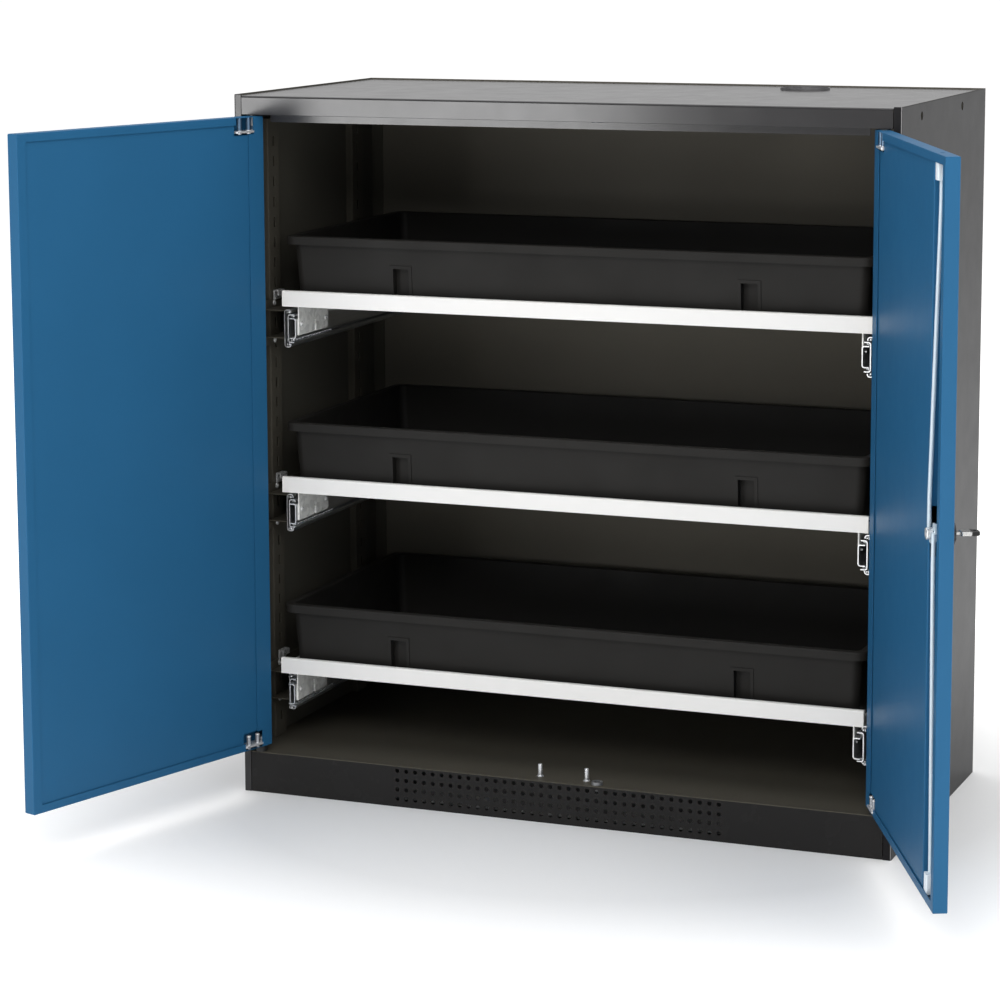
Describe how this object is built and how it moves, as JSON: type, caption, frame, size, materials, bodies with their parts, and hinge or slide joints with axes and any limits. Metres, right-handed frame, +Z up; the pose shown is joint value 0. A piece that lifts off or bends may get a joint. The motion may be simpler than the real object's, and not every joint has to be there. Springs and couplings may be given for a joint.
{
  "type": "chemical storage cabinet",
  "caption": "Low steel chemical storage cabinet with hinged double doors, rod lock, pull-out shelves with lift-out spill trays, perforated plinth and top exhaust port.",
  "frame": {"origin": "centre of the carcass footprint on the floor", "axes": "+X to the right seen from the front, -Y out of the front, +Z up"},
  "size_m": [1.3906, 0.9925, 1.106],
  "materials": {
    "carcass_paint": "fine satin powder coat, anthracite",
    "door_paint": "fine satin powder coat, blue",
    "shelf_paint": "satin powder coat, light grey-white",
    "tray_plastic": "moulded, lightly grained",
    "galvanised": "galvanised sheet",
    "slide_zinc": "zinc plated, rolled",
    "zinc_screw": "zinc plated",
    "bright_steel": "turned and plated",
    "bush_plastic": "moulded",
    "rod_steel": "drawn, zinc plated",
    "keeper_steel": "turned, zinc plated",
    "guide_plastic": "moulded, white",
    "knob_plastic": "moulded, black",
    "key_metal": "nickel plated"
  },
  "bodies": {
    "carcass": {"left_side_panel": "carcass_paint", "right_side_panel": "carcass_paint", "back_panel": "carcass_paint", "top_panel": "carcass_paint", "top_front_rail": "carcass_paint", "floor_panel": "carcass_paint", "plinth_front": "carcass_paint", "base_frame": "carcass_paint", "exhaust_collar": "galvanised", "left_slide_uprights": "carcass_paint", "right_slide_uprights": "carcass_paint", "slide_supports": "carcass_paint", "support_screws": "zinc_screw", "slide_screws": "zinc_screw", "door_stop_pins": "bright_steel", "pivot_bushes": "bush_plastic", "rod_keepers": "keeper_steel", "upper_slide_outer_rails": "slide_zinc", "middle_slide_outer_rails": "slide_zinc", "lower_slide_outer_rails": "slide_zinc"},
    "left_door": {"left_door_panel": "door_paint", "left_door_liner": "door_paint", "left_hinge_brackets": "bright_steel", "left_hinge_pins": "bright_steel", "left_hinge_screws": "zinc_screw"},
    "right_door": {"right_door_panel": "door_paint", "right_door_liner": "door_paint", "right_hinge_brackets": "bright_steel", "right_hinge_pins": "bright_steel", "right_hinge_screws": "zinc_screw", "lock_barrel": "bright_steel", "lock_nut": "bright_steel", "lock_rose": "knob_plastic", "rod_guides": "guide_plastic"},
    "lock_knob": {"turn_knob": "knob_plastic", "lock_cam": "rod_steel", "cam_bolt": "bright_steel"},
    "lock_key": {"lock_plug": "bright_steel", "key": "key_metal"},
    "upper_rod": {"upper_lock_rod": "rod_steel"},
    "lower_rod": {"lower_lock_rod": "rod_steel"},
    "upper_shelf": {"upper_shelf_pan": "shelf_paint", "upper_slide_inner_rails": "slide_zinc", "upper_shelf_carriers": "galvanised", "upper_carrier_screws": "zinc_screw"},
    "upper_middle_rails": {"upper_slide_middle_rails": "slide_zinc"},
    "upper_tray": {"upper_spill_tray": "tray_plastic"},
    "middle_shelf": {"middle_shelf_pan": "shelf_paint", "middle_slide_inner_rails": "slide_zinc", "middle_shelf_carriers": "galvanised", "middle_carrier_screws": "zinc_screw"},
    "middle_middle_rails": {"middle_slide_middle_rails": "slide_zinc"},
    "middle_tray": {"middle_spill_tray": "tray_plastic"},
    "lower_shelf": {"lower_shelf_pan": "shelf_paint", "lower_slide_inner_rails": "slide_zinc", "lower_shelf_carriers": "galvanised", "lower_carrier_screws": "zinc_screw"},
    "lower_middle_rails": {"lower_slide_middle_rails": "slide_zinc"},
    "lower_tray": {"lower_spill_tray": "tray_plastic"}
  },
  "joints": [
    {"name": "left_door_hinge", "type": "hinge", "parent": "carcass", "child": "left_door", "pos_m": [-0.5005, -0.252, 0.574], "axis": [0, 0, -1], "range_deg": [-107, 13]},
    {"name": "right_door_hinge", "type": "hinge", "parent": "carcass", "child": "right_door", "pos_m": [0.5005, -0.252, 0.574], "axis": [0, 0, 1], "range_deg": [-115, 5]},
    {"name": "lock_knob_turn", "type": "hinge", "parent": "right_door", "child": "lock_knob", "pos_m": [0.6937, -0.64739, 0.574], "axis": [-0.9063, -0.4226, 0], "range_deg": [-90, 0]},
    {"name": "lock_key_turn", "type": "hinge", "parent": "lock_knob", "child": "lock_key", "pos_m": [0.6937, -0.64739, 0.574], "axis": [-0.9063, -0.4226, 0], "range_deg": [0, 90]},
    {"name": "upper_rod_slide", "type": "slide", "parent": "right_door", "child": "upper_rod", "axis": [0, 0, -1], "range_m": [-0.016, 0]},
    {"name": "lower_rod_slide", "type": "slide", "parent": "right_door", "child": "lower_rod", "axis": [0, 0, 1], "range_m": [-0.016, 0]},
    {"name": "upper_shelf_slide", "type": "slide", "parent": "carcass", "child": "upper_shelf", "axis": [0, -1, 0], "range_m": [0, 0.42]},
    {"name": "upper_rails_slide", "type": "slide", "parent": "carcass", "child": "upper_middle_rails", "axis": [0, -1, 0], "range_m": [0, 0.21]},
    {"name": "upper_tray_lift", "type": "slide", "parent": "upper_shelf", "child": "upper_tray", "axis": [0, 0, 1], "range_m": [0, 0.06]},
    {"name": "middle_shelf_slide", "type": "slide", "parent": "carcass", "child": "middle_shelf", "axis": [0, -1, 0], "range_m": [-0.008, 0.412]},
    {"name": "middle_rails_slide", "type": "slide", "parent": "carcass", "child": "middle_middle_rails", "axis": [0, -1, 0], "range_m": [-0.004, 0.206]},
    {"name": "middle_tray_lift", "type": "slide", "parent": "middle_shelf", "child": "middle_tray", "axis": [0, 0, 1], "range_m": [0, 0.06]},
    {"name": "lower_shelf_slide", "type": "slide", "parent": "carcass", "child": "lower_shelf", "axis": [0, -1, 0], "range_m": [-0.021, 0.399]},
    {"name": "lower_rails_slide", "type": "slide", "parent": "carcass", "child": "lower_middle_rails", "axis": [0, -1, 0], "range_m": [-0.0105, 0.1995]},
    {"name": "lower_tray_lift", "type": "slide", "parent": "lower_shelf", "child": "lower_tray", "axis": [0, 0, 1], "range_m": [0, 0.06]}
  ],
  "couplings": [
    {"joint": "lower_rod_slide", "follows": "upper_rod_slide", "ratio": 1},
    {"joint": "lock_knob_turn", "follows": "upper_rod_slide", "rad_per_m": 98.175},
    {"joint": "upper_rails_slide", "follows": "upper_shelf_slide", "ratio": 0.5},
    {"joint": "middle_rails_slide", "follows": "middle_shelf_slide", "ratio": 0.5},
    {"joint": "lower_rails_slide", "follows": "lower_shelf_slide", "ratio": 0.5}
  ]
}
